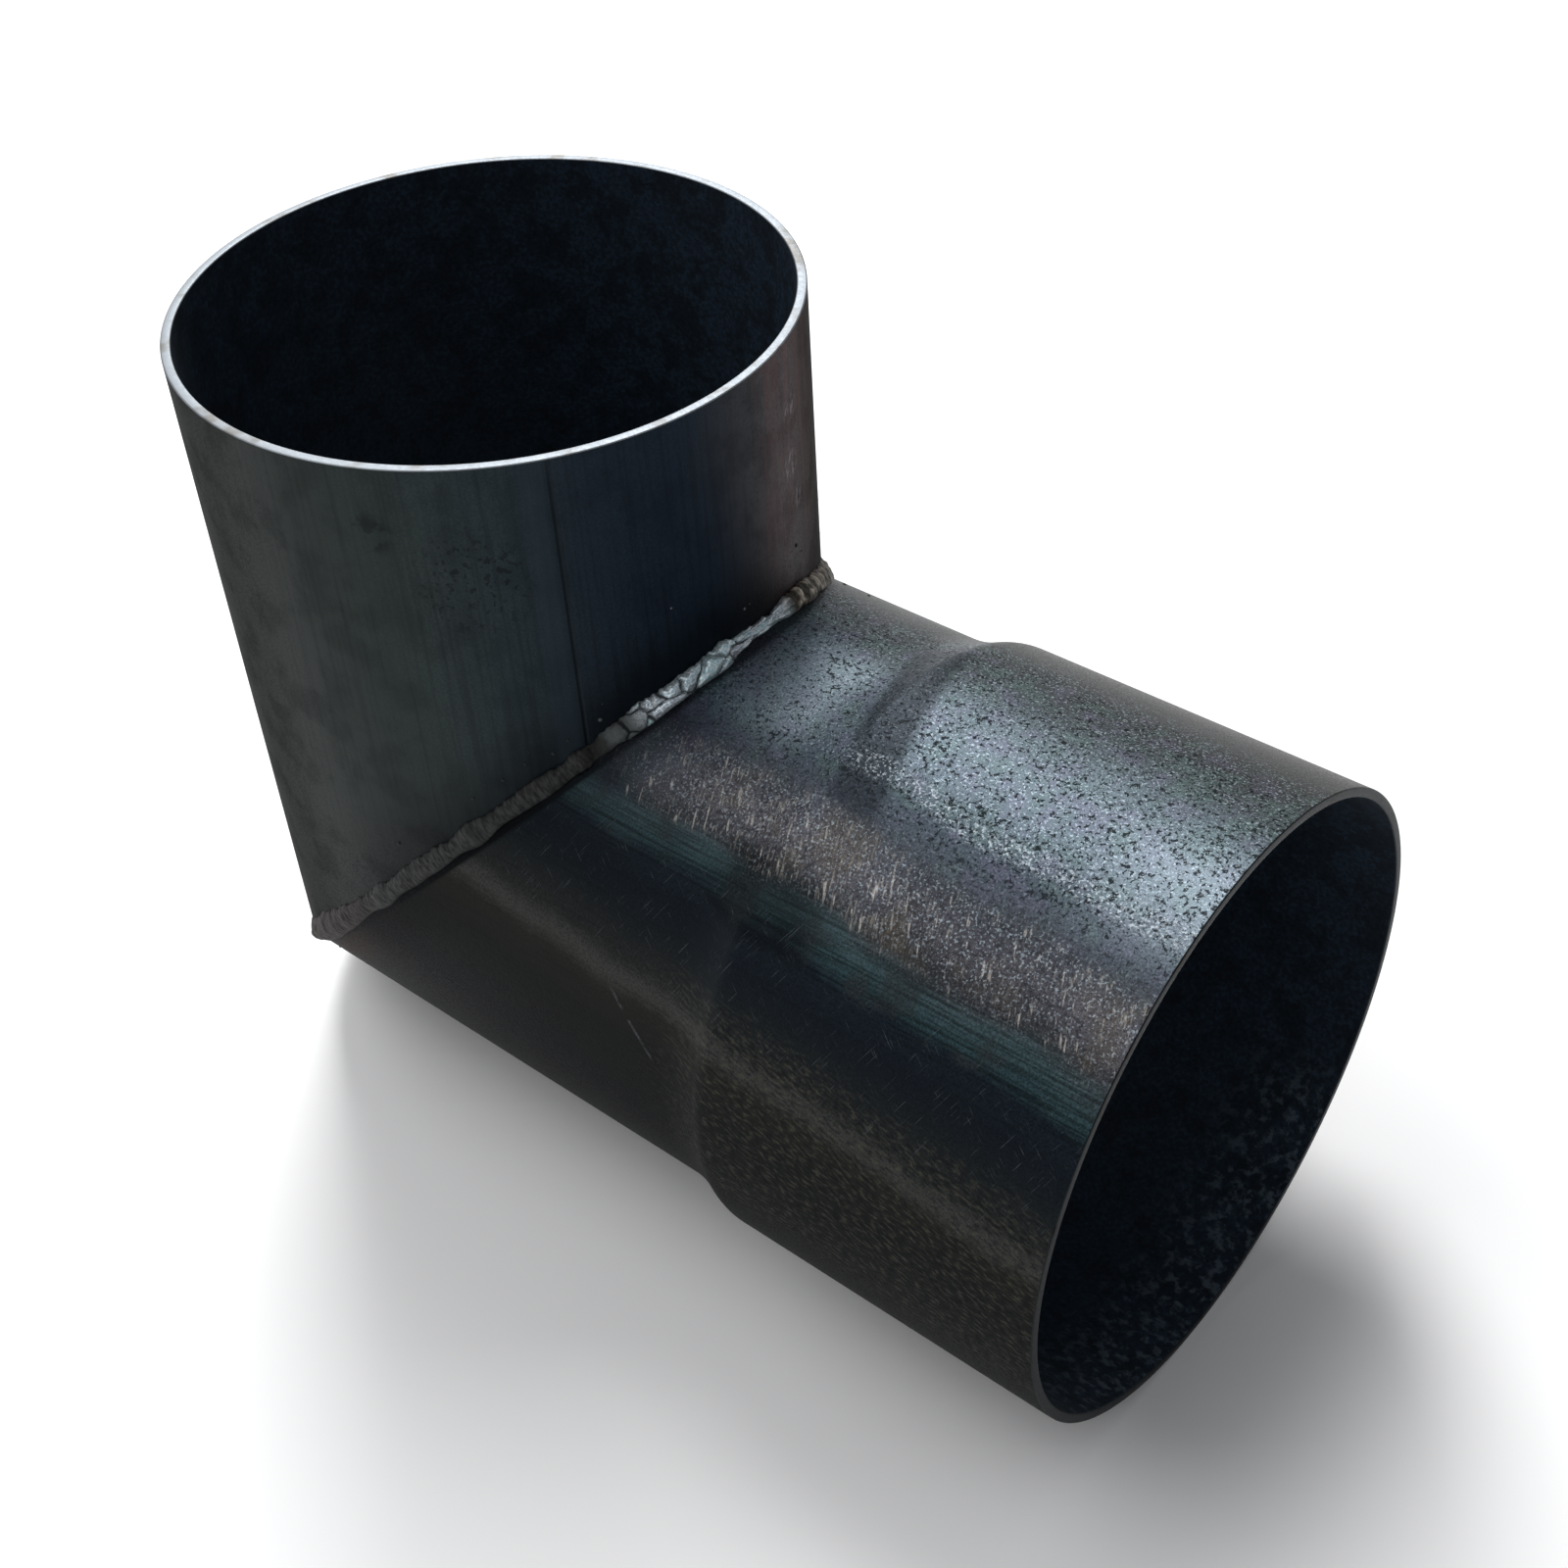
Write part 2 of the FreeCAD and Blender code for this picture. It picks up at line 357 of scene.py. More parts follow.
def run_heat(s, tint, mottle, coarse):
    """Temper colours and brown dust by the weld, and painted shade beside its toe, wider in one place, with a
    dark line along the toe.
    """
    blue = s.times(tint, s.add(STEP, mottle, 0.4, 0.6), s.band(s.turn, -12, 18, 14))
    teal = s.times(tint, s.add(STEP, mottle, 0.6, 0.4), s.band(s.turn, -12, 18, 14))
    s.layer(blue, "#37364a", 0.45)
    s.layer(teal, "#3d505a", 0.45)
    dusty = s.times(s.add(STEP, s.away, 20, 6), s.band(s.turn, -116, 12, 14))
    s.layer(s.times(dusty, s.add(STEP, coarse, 0.4, 0.6, 0.3, 1.0)), "#38251f", 0.6)
    # painted shade beside the bead's toe, wider at one turn, and a painted dark line along the toe lower down
    s.darker(s.add(STEP, s.away, 5.2, 3.4), 0.75)
    s.darker(s.times(s.add(STEP, s.away, 13, 6), s.band(s.turn, -30, 6, 7)), 0.5)
    s.darker(s.times(s.band(s.away, 2.6, 1.2, 0.7), s.band(s.turn, -70, 32, 6)), 0.9)


def run_scale():
    """Mill scale of the lying tube, as rolled and swaged: a thin, hard, blue-grey oxide. Rolling
    left dark pits and lines along the tube, swaging left short light rubs round it, and handling
    burnished the top. It gives the eye a sheen that breaks into specks, over navy, teal and olive.
    On top lie painted sheen, painted glints and a strip of painted shade across the shoulder, and
    by the weld painted shade along its toe."""
    s = Leg("mill_scale_swaged_tube", "x")
    lean = s.times(s.add(MINUS, s.distance, 175.0), 0.053)
    turn = s.add(PLUS, s.add(PLUS, s.turn, lean), s.add(PLUS, s.waver(30, 7.0), s.waver(5, 2.0)))
    grain = s.add(NOISE, s.where, of_size(0.5), 2.0, 0.6)
    coarse = s.add(NOISE, s.where, of_size(1.1), 2.0, 0.6)
    mottle = s.add(NOISE, s.where, of_size(9), 3.0, 0.55)
    # a strip of painted shade across the shoulder's corner, leaning with the turn; it also takes the metal
    # down there
    along_corner = s.add(PLUS, s.distance, s.times(turn, 0.35))
    shoulder_shade = s.times(s.band(along_corner, 125, 4.5, 5), s.band(turn, -6, 18, 7))
    tint = s.add(STEP, s.away, 22, 5)
    s.colour = run_zones(s, turn)
    rolling_lines(s, turn)
    swaging_rubs(s, turn, coarse)
    flecks_and_scratches(s, turn)
    pits, glints = burnished_top(s, turn, shoulder_shade)
    s.darker_grain(grain, 0.5)
    run_heat(s, tint, mottle, coarse)
    metal = s.zones(turn, -80, 60, [
        (-80, "#000000"), (-58, "#000000"), (-46, "#404040"), (-34, "#6a6a6a"), (-25, "#4a4a4a"),
        (-20.5, "#525252"), (-14, "#8a8a8a"), (8, "#8c8c8c"), (24, "#424242"), (60, "#282828")])
    metal = s.times(metal, s.add(STEP, shoulder_shade, 0.0, 1.0, 1.0, 0.35), s.add(MINUS, 1.0, pits))
    rough = s.chain(PLUS, 0.35, s.times(pits, 0.35), s.times(s.add(STEP, grain, 0.4, 0.62), 0.14))
    rough = s.add(MINUS, rough, s.times(glints, 0.08))
    rough = s.add(PLUS, rough, s.times(tint, 0.05))
    rough = s.add(PLUS, rough, s.add(STEP, turn, -45, -62, 0.0, 0.25), use_clamp=True)
    normal = s.relief((grain, 0.09, 0.7), (coarse, 0.12, 0.6), (pits, -0.10, 0.7), (mottle, 0.25, 0.35))
    return s.finish(Base_Color=s.colour, Metallic=metal, Roughness=rough, Specular_IOR_Level=0.1,
                    Specular_Tint=linear("#c3d8ea"), Normal=normal)


def riser_stains(s):
    """Red rust in streaks down the right side, old stains, specks of loose scale, and light
    scuffs near the right side."""
    rust = s.times(s.band(s.turn, 18, 8, 6), s.marks(40, 2.2, 0.0, 5.0, 0.42, 0.58))
    s.layer(rust, "#4e2622", 0.42)
    stain = s.times(s.spot(-66, 129, 5.5), s.patches(3.5, 0.42, 0.56, 2.0))
    specks = s.times(s.spot(-50, 116, 14), s.patches(1.6, 0.56, 0.64, 2.0))
    s.darker(s.add(LARGER, stain, specks), 0.65)
    lower = s.add(LARGER, s.spot(17, 113, 3.8), s.spot(19, 102, 3.0))
    scuffed = s.add(LARGER, s.spot(18, 128, 3.4), lower)
    s.layer(s.times(scuffed, s.marks(2.6, 1.3, 25, 0.0, 0.47, 0.62, 4.0)), "#7d7076", 0.7)


def riser_scale():
    """Mill scale of the upright tube, as rolled: darker and smoother than the swaged one, as it
    was not worked. It gives the eye green-grey, blue and rust-brown zones with faint streaks."""
    s = Leg("mill_scale_plain_tube", "z")
    turn = s.add(PLUS, s.turn, s.waver(34, 16.0))
    s.colour = s.zones(turn, -180, 180, [
        (-180, "#222724"), (-150, "#1c201f"), (-130, "#151513"), (-100, "#1b1d18"), (-80, "#252b27"),
        (-60, "#2f3836"), (-42, "#2a3539"), (-30, "#212c36"), (-8, "#1a2634"), (4, "#25252b"),
        (14, "#3d2427"), (26, "#291913"), (60, "#1a1714"), (85, "#1b2227"), (115, "#222b2e"),
        (150, "#282c28"), (180, "#222724")])
    grain = s.add(NOISE, s.where, of_size(0.6), 2.0, 0.6)
    mottle = s.add(NOISE, s.where, of_size(12), 4.0, 0.6)
    s.darker(s.marks(50, 1.3, 0.0, 0.0, 0.42, 0.7), 0.3)
    s.darker(s.add(STEP, mottle, 0.42, 0.62), 0.2)
    riser_stains(s)
    s.darker_grain(grain, 0.3)
    # smoke from the weld, and soot towards the heel
    s.darker(s.add(STEP, s.away, 19, 3.0), 0.68)
    s.layer(s.times(s.add(STEP, s.away, 30, 5), s.band(s.turn, -100, 26, 20)), "#100e0b", 0.55)
    # the dressed seam, with a bluer strip beside it
    s.layer(s.band(s.turn, -38, 1.2, 2.0), "#2d3942", 0.3)
    s.darker(s.times(s.band(s.turn, -35, 0.25, 0.5), s.add(STEP, s.distance, 40, 100, 0.2, 1.0)), 0.4)
    matt_sides = s.add(
        PLUS, s.add(STEP, s.turn, 12, 36, 0.0, 0.4), s.add(STEP, s.turn, -85, -110, 0.0, 0.3))
    rough = s.chain(PLUS, 0.46, s.times(s.add(STEP, grain, 0.4, 0.62), 0.12),
                    s.times(s.add(STEP, mottle, 0.45, 0.65), 0.08))
    rough = s.add(PLUS, rough, matt_sides, use_clamp=True)
    return s.finish(Base_Color=s.colour, Metallic=0.0, Roughness=rough, Specular_IOR_Level=0.14,
                    Specular_Tint=linear("#c3d8ea"), Normal=s.relief((grain, 0.05, 0.5), (mottle, 0.3, 0.3)))


def bore_surface():
    """Mill scale in the bores, never touched after rolling: matt blue-black, so the eye sees depth.
    Low in the socket's mouth it has light scuffs."""
    s = Surface("mill_scale_bore")
    grain = s.add(NOISE, s.where, of_size(1.2), 3.0, 0.55)
    colour = s.add(BLEND, s.add(STEP, grain, 0.35, 0.7), linear("#131e29"), linear("#202f3e"))
    colour = s.add(BLEND, s.times(s.patches(9, 0.56, 0.4, 4.0, 0.65), 0.55), colour, linear("#080c10"))
    x, _, z = s.add(SPLIT, s.where).node.outputs
    low_in_mouth = s.times(
        s.add(STEP, x, MOUTH_X - 34 * MM, MOUTH_X - 4 * MM), s.add(STEP, z, -40 * MM, -60 * MM))
    scuffs = s.times(low_in_mouth, s.patches(3, 0.48, 0.64, 4.0, 0.65))
    colour = s.add(BLEND, s.times(scuffs, 0.6), colour, linear("#55636f"))
    return s.finish(Base_Color=colour, Metallic=0.0, Roughness=0.75, Specular_IOR_Level=0.2,
                    Normal=s.relief((grain, 0.1, 0.5)))


def cut_surface(name, bright, dull):
    """Bare steel of a cut and deburred rim, with fine file marks. Fresh it gives the eye a bright,
    soft line, and its darker copy is grey."""
    s = Surface(name)
    marks = s.add(NOISE, s.where, of_size(0.8), 3.0, 0.6)
    colour = s.add(BLEND, s.patches(9, 0.5, 0.7, 2.0), linear(bright), linear(dull))
    rough = s.add(PLUS, 0.42, s.times(marks, 0.25))
    return s.finish(Base_Color=colour, Metallic=1.0, Roughness=rough, Normal=s.relief((marks, 0.05, 0.5)))


def weld_surface(name, brushed):
    """Weld metal as laid: dull, oxidised grey along most of the bead, wire-brushed silver where it
    lies in pads, brown in the crust and by the heel. It gives the eye small bright facets between
    dark cracks. Brushed is how far the brush cleaned it, up to 1."""
    s = Surface(name)
    x, y, z = s.add(SPLIT, s.where).node.outputs
    beside = s.times(s.add(PLUS, s.add(MINUS, x, CROSSING_X), z), 0.5)
    turn = s.times(s.add(ANGLE, y, beside), math.degrees(1))
    grain = s.add(NOISE, s.where, of_size(0.5), 3.0, 0.6)
    relief, crack, tone, crusty, arc_at, across = (
        s.add("ShaderNodeAttribute", output="Fac", attribute_name=label)
        for label in ("relief", "crack", "tone", "crust", "arc", "across"))
    patchy = s.add(STEP, s.add(NOISE, s.where, of_size(4), 3.0, 0.6), 0.30, 0.42, 0.7, 1.0)
    clean = s.times(s.band(turn, -8, 15, 5), patchy, brushed)
    feathers = s.add(NOISE, s.add(JOIN, s.add(DIVIDED, arc_at, 0.7), s.times(across, 0.9)), 1.0, 2.0)
    dull = s.add(BLEND, s.add(STEP, feathers, 0.38, 0.62), linear("#18191a"), linear("#313232"))
    brown = s.times(s.band(turn, HEEL_TURNS[0], 16, 10), s.add(STEP, grain, 0.3, 0.6, 0.3, 1.0))
    dull = s.add(BLEND, brown, dull, linear("#1d1411"))
    # a paler lump where the next run starts, and a dark crater before it
    dull = s.add(BLEND, s.times(s.band(turn, -28.5, 3, 2), 0.7), dull, linear("#5a5f5f"))
    dull = s.add(BLEND, s.times(s.band(turn, RESTART_TURN, 1.2, 1.6), 0.6), dull, linear("#151514"))
    # the crust's colour by height: painted light on its lumps and painted shade between them
    crust = s.add(BLEND, s.add(STEP, relief, -0.1, 0.6), linear("#454039"), linear("#b3aa9c"))
    dull = s.add(BLEND, s.times(crusty, brushed), dull, crust)
    silver = s.add(BLEND, tone, linear("#a9aebc"), linear("#a8d2da"))
    silver = s.add(BLEND, s.add(STEP, grain, 0.4, 0.6), silver, linear("#e6f0f4"))
    colour = s.add(BLEND, clean, dull, silver)
    # painted shade in the hollows between and on the pads
    hollow_shade = s.times(clean, s.add(STEP, relief, -0.2, -0.8, 0.0, 0.6))
    colour = s.add(BLEND, hollow_shade, colour, linear("#0b0b0c"))
    crack = s.add(STEP, crack, 0.15, 0.75)
    colour = s.add(BLEND, s.times(crack, 0.85), colour, linear("#12181a"))
    metal = s.times(s.add(STEP, clean, 0.1, 0.9, 0.15, 0.55), s.add(MINUS, 1.0, crack))
    rough = s.add(PLUS, s.add(STEP, clean, 0.0, 1.0, 0.65, 0.24), s.times(crack, 0.3), use_clamp=True)
    return s.finish(Base_Color=colour, Metallic=metal, Roughness=rough, Specular_IOR_Level=0.25,
                    Normal=s.relief((grain, 0.16, 0.8)))


# Meshes

def grid_mesh(name, points):
    """A quad mesh from points[row][column], closed both ways."""
    rows, columns = points.shape[:2]
    here = np.arange(rows * columns).reshape(rows, columns)
    above = np.roll(here, -1, axis=0)
    faces = np.stack([here, np.roll(here, -1, axis=1), np.roll(above, -1, axis=1), above], axis=-1)
    mesh = bpy.data.meshes.new(name)
    mesh.from_pydata(points.reshape(-1, 3).tolist(), [], faces.reshape(-1, 4).tolist())
    mesh.update()
    face_out(mesh)
    return mesh


def face_out(mesh):
    """Turns every face outward: the mesh is closed, so its signed volume tells."""
    volume = 0.0
    for p in mesh.polygons:
        v = [mesh.vertices[i].co for i in p.vertices]
        volume += v[0].dot(v[1].cross(v[2])) + v[0].dot(v[2].cross(v[3]))
    if volume < 0:
        mesh.flip_normals()


def add_attribute(mesh, name, values):
    layer = mesh.attributes.new(name, "FLOAT", "POINT")
    layer.data.foreach_set("value", np.asarray(values, np.float32).ravel())


def placed(name, data):
    thing = bpy.data.objects.new(name, data)
    bpy.context.scene.collection.objects.link(thing)
    return thing


def shown(mesh, *nodes, slot):
    mesh.shade_smooth()
    piece = placed(mesh.name, mesh)
    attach(piece, "root")
    if nodes:
        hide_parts(*nodes)


# Outlines of a leg's wall are points (distance from the crossing, radius)

def straight(start, stop, radius, count):
    return [(distance, radius) for distance in np.linspace(start, stop, count)]


def arc(centre_distance, centre_radius, radius, start, stop):
    """Points round part of a lip, angles in degrees."""
    angles = np.radians(np.linspace(start, stop, LIP_STEPS))
    return [(centre_distance + radius * math.cos(a), centre_radius + radius * math.sin(a)) for a in angles]


def lip_outlines(end, inner, outer):
    """The rounded end of a wall: its outer half, and the inner half from there to the bore."""
    return arc(end - LIP, outer - LIP, LIP, 90, 0), arc(end - LIP, inner + LIP, LIP, 0, -90)


def flare_outline(small, large):
    """The shoulder: it leaves the tube smoothly and meets the socket in a corner."""
    rise = large - small
    radius = (SHOULDER_LENGTH ** 2 + rise ** 2) / (2 * rise)
    angles = np.linspace(0, math.asin(SHOULDER_LENGTH / radius), FLARE_STEPS)
    return [(SHOULDER_START + radius * math.sin(a), small + radius * (1 - math.cos(a))) for a in angles]


def rounded_corner(before, corner, after, radius):
    """Replaces a corner of an outline by a small round."""
    p, c, q = (np.array(v) for v in (before, corner, after))
    to_p, to_q = (v / np.linalg.norm(v) for v in (p - c, q - c))
    start, stop = c + to_p * radius, c + to_q * radius
    shares = np.linspace(0, 1, CORNER_STEPS)
    return [tuple((1 - t) ** 2 * start + 2 * t * (1 - t) * c + t ** 2 * stop) for t in shares]


# Legs

def spigot_place(distance, radius, turns):
    return np.stack([
        CROSSING_X + radius * np.cos(turns), radius * np.sin(turns), distance + 0 * turns], axis=-1)


def socket_place(distance, radius, turns):
    return np.stack([
        CROSSING_X + distance + 0 * turns, radius * np.sin(turns), radius * np.cos(turns)], axis=-1)


def seamed_place(distance, radius, turns):
    """The spigot leg's points, with the dressed seam as a groove in the outside."""
    points = spigot_place(distance, radius, turns)
    if abs(radius - TUBE_R) < 1e-9:
        away = np.abs((turns - SEAM_TURN + math.pi) % (2 * math.pi) - math.pi) * TUBE_R
        depth = SEAM_DEPTH * np.clip(1.35 - away / (SEAM_WIDTH / 2), 0, 1)
        depth = depth * np.clip((SPIGOT_REACH - SEAM_STOP - distance) / SEAM_FADE + 1, 0, 1)
        points[..., 0] -= depth * np.cos(turns)
        points[..., 1] -= depth * np.sin(turns)
    return points


def leg_columns(seam):
    """Turns round a leg. Close to the seam the columns are closer."""
    turns = set(np.round(np.radians(np.arange(0, 360, LEG_STEP)), 6))
    if seam:
        half = SEAM_WIDTH / 2 / TUBE_R
        for step in np.linspace(-2.2, 2.2, SEAM_COLUMNS):
            turns.add(round((SEAM_TURN + step * half) % (2 * math.pi), 6))
    return np.array(sorted(turns))


def leg_points(turns, outer, inner, place):
    """Rows of a leg: outside from the mitre to the rim, then the bore back to the mitre."""
    def to_mitre(radius, shares):
        mitre = radius * np.cos(turns) + MITRE_SETBACK
        return [place(mitre * (1 - share) + SQUARE_FROM * share, radius, turns) for share in shares]

    shares = (np.linspace(0, 1, MITRE_ROWS) ** 1.15)[:-1]
    rows = to_mitre(TUBE_R, shares)
    rows += [place(np.full_like(turns, distance), radius, turns) for distance, radius in outer + inner]
    return np.array(rows + to_mitre(BORE_R, shares[::-1]))


def build_leg(name, outer, inner, place, materials, seam=False):
    """A leg with its scale, bore and rim materials. All but the ends of the lip is bare rim."""
    points = leg_points(leg_columns(seam), outer, inner, place)
    mesh = grid_mesh(name, points)
    for material in materials:
        mesh.materials.append(material)
    rows, columns = points.shape[:2]
    first_bore = MITRE_ROWS - 1 + len(outer)
    rim = LIP_STEPS - 1
    slot_of_row = np.zeros(rows, int)
    slot_of_row[first_bore:] = 1
    slot_of_row[first_bore - rim:first_bore + rim - 1] = 2
    mesh.polygons.foreach_set("material_index", np.repeat(slot_of_row, columns).astype(np.int32))
    return mesh


def build_spigot(materials):
    outer_lip, inner_lip = lip_outlines(SPIGOT_REACH, BORE_R, TUBE_R)
    near_rim = SPIGOT_REACH - 1.4 * LIP
    outer = straight(SQUARE_FROM, near_rim, TUBE_R, 26) + outer_lip
    inner = inner_lip + straight(near_rim, SQUARE_FROM, BORE_R, 14)
    return build_leg("riser_tube", outer, inner, seamed_place, materials, seam=True)


def build_socket(materials):
    def swaged(small, large):
        # the flare's last points give way to the round, which ends before the wide part starts
        flare = flare_outline(small, large)
        corner = rounded_corner(flare[-2], flare[-1], (SHOULDER_END + 8 * MM, large), SHOULDER_ROUND)
        plain = straight(SQUARE_FROM, SHOULDER_START, small, 10)[:-1]
        wide = straight(SHOULDER_END + 4.5 * MM, SOCKET_REACH - 1.4 * LIP, large, 24)
        return plain + flare[:-3] + corner + wide

    outer_lip, inner_lip = lip_outlines(SOCKET_REACH, SOCKET_BORE_R, SOCKET_R)
    outer = swaged(TUBE_R, SOCKET_R) + outer_lip
    inner = inner_lip + swaged(BORE_R, SOCKET_BORE_R)[::-1]
    return build_leg("run_tube", outer, inner, socket_place, materials)


# Weld: its toes lie on the two tubes, and its crown stands in the corner between them

def mitre_frame(turns):
    """Points on the mitre's outside edge, and the ways along, out of and across that edge."""
    edge = np.stack([TUBE_R * np.cos(turns), TUBE_R * np.sin(turns), TUBE_R * np.cos(turns)], axis=-1)
    ahead = np.stack([-np.sin(turns), np.cos(turns), -np.sin(turns)], axis=-1)
    ahead /= np.linalg.norm(ahead, axis=-1, keepdims=True)
    across = np.array([1, 0, -1]) / math.sqrt(2)
    out = np.cross(ahead, np.broadcast_to(across, ahead.shape))
    flip = np.sign((out * edge).sum(-1, keepdims=True))
    return edge, ahead, out * flip, across


def smooth_noise(waves, seed):
    """A gentle seeded curve round the mitre, between about -1 and 1, that closes on itself."""
    generator = np.random.default_rng(seed)
    at = np.linspace(0, 2 * math.pi, BEAD_STEPS, endpoint=False)
    total = np.zeros(BEAD_STEPS)
    for wave in range(1, waves + 1):
        total += generator.normal() * np.cos(wave * at + generator.uniform(0, 2 * math.pi))
    return total / np.abs(total).max()


def eased(share):
    """0 to 1 with a smooth start and stop, held there beyond them."""
    share = np.clip(share, 0, 1)
    return share ** 2 * (3 - 2 * share)


def hump(turns, centre, half):
    """1 at centre, falling smoothly to 0 at half beyond it, all in degrees."""
    return eased(1 - np.abs((turns - centre + 180) % 360 - 180) / half)


def window(turns, limits, soft):
    """1 between the two limits, falling to 0 over soft beyond them."""
    return eased(np.minimum(turns - limits[0], limits[1] - turns) / soft + 1)


def on_tube(points, leg):
    """Moves points of a leg's surface exactly on to the tube."""
    first, second = (1, 2) if leg == "run" else (0, 1)
    radius = np.hypot(points[:, first], points[:, second])
    points[:, first] *= TUBE_R / radius
    points[:, second] *= TUBE_R / radius
    return points


def weld_base(name):
    """The bead as a smooth closed strip round the mitre, with what the geometry nodes need:
    arc (mm round the mitre), across (-1 to 1), lift (0 at the toes), pads, streaks and crust."""
    turns = np.linspace(-math.pi, math.pi, BEAD_STEPS, endpoint=False)
    degrees = np.degrees(turns)
    edge, ahead, out, across = mitre_frame(turns)
    run_way = np.cross(np.stack([0 * turns, np.sin(turns), np.cos(turns)], axis=-1), ahead)
    run_way *= np.sign(run_way[:, :1])
    riser_way = np.cross(np.stack([np.cos(turns), np.sin(turns), 0 * turns], axis=-1), ahead)
    riser_way *= np.sign(riser_way[:, 2:])
    heel = sum(hump(degrees, turn, 22) for turn in HEEL_TURNS)
    restart = hump(degrees, RESTART_TURN, 2.2)
    pads, streaks, crust = (window(degrees, limits, 3.0) for limits in (PADS, STREAKS, CRUST))
    worked = np.maximum(pads, np.maximum(streaks, crust))
    fillet = hump(degrees, 42, 34)
    width = BEAD_WIDTH * (
        1 + 0.24 * smooth_noise(48, 5)
        + 0.32 * pads - 0.22 * streaks + 0.2 * crust + 0.45 * heel - 0.30 * restart)
    feathered = BEAD_WIDTH * (0.26 * smooth_noise(110, 21) + 0.2 * smooth_noise(300, 22))
    shift = 0.45 * MM * smooth_noise(26, 9)
    crown = BEAD_CROWN * (
        0.7 + 0.3 * worked + 0.22 * smooth_noise(70, 7)
        + 0.25 * heel - 0.75 * restart - 0.3 * streaks - 0.85 * fillet)
    step = np.linalg.norm(np.roll(edge, -1, axis=0) - edge, axis=-1)
    arc_length = (np.cumsum(step) - step) / MM

    def foot(side):
        """On the tubes under the bead, from the riser's toe at -1 to the run's toe at 1."""
        if side >= 0:
            return on_tube(edge + run_way * ((width + shift) * side)[:, None], "run")
        return on_tube(edge + riser_way * ((width - shift + feathered) * -side)[:, None], "riser")

    toe_riser, toe_run = foot(-1), foot(1)
    rows, sides, lifts = [], [], []
    for side in np.linspace(-1, 1, BEAD_ROWS):
        chord = toe_riser * (1 - side) / 2 + toe_run * (1 + side) / 2
        over = np.clip(((chord - foot(side)) * out).sum(-1), 0, None)
        lift = (1 - abs(side) ** 2.2) ** 0.75
        rows.append(foot(side) + out * (over + crown * lift)[:, None])
        sides.append(side)
        lifts.append(lift)
    for side in np.linspace(1, -1, ROOT_ROWS + 2)[1:-1]:
        rows.append(edge * (1 - BEAD_ROOT / TUBE_R) + across * (0.5 * ROOT_GAP * side))
        sides.append(side)
        lifts.append(0.0)
    points = np.array(rows) + [CROSSING_X, 0, 0]
    mesh = grid_mesh(name, points)
    by_turn = {"arc": arc_length, "pads": pads, "streaks": streaks, "crust": crust * (1 - 0.5 * fillet)}
    by_row = {"across": np.array(sides)[:, None], "lift": np.array(lifts)[:, None]}
    for label, values in (by_turn | by_row).items():
        add_attribute(mesh, label, np.broadcast_to(values, points.shape[:2]))
    return mesh


class Recipe(Graph):
    """A geometry node tree with named inputs."""

    def __init__(self, name, inputs):
        super().__init__(bpy.data.node_groups.new(name, "GeometryNodeTree"))
        face = self.tree.interface
        face.new_socket("Geometry", in_out="INPUT", socket_type="NodeSocketGeometry")
        face.new_socket("Geometry", in_out="OUTPUT", socket_type="NodeSocketGeometry")
        for label, kind in inputs.items():
            face.new_socket(label, in_out="INPUT", socket_type="NodeSocket" + kind)
        self.given = self.add("NodeGroupInput").node.outputs

    def ends_with(self, geometry):
        """The tree's result: plain geometry in the material that was given."""
        real = self.add("GeometryNodeRealizeInstances", geometry)
        coated = self.add("GeometryNodeSetMaterial", real, Material=self.given["Material"])
        self.add("NodeGroupOutput", coated)
        return self.tree


def made_by(recipe, mesh, values):
    """Runs a node tree on a mesh and returns the outcome as a plain mesh of the same name."""
    name = mesh.name
    host = placed(name, mesh)
    modifier = host.modifiers.new(recipe.name, "NODES")
    modifier.node_group = recipe
    identifiers = {i.name: i.identifier for i in recipe.interface.items_tree if i.in_out == "INPUT"}
    for label, value in values.items():
        modifier[identifiers[label]] = value
    bpy.context.view_layer.update()
    graph = bpy.context.evaluated_depsgraph_get()
    made = bpy.data.meshes.new_from_object(host.evaluated_get(graph), depsgraph=graph)
    bpy.data.objects.remove(host)
    bpy.data.meshes.remove(mesh)
    made.name = name
    return made


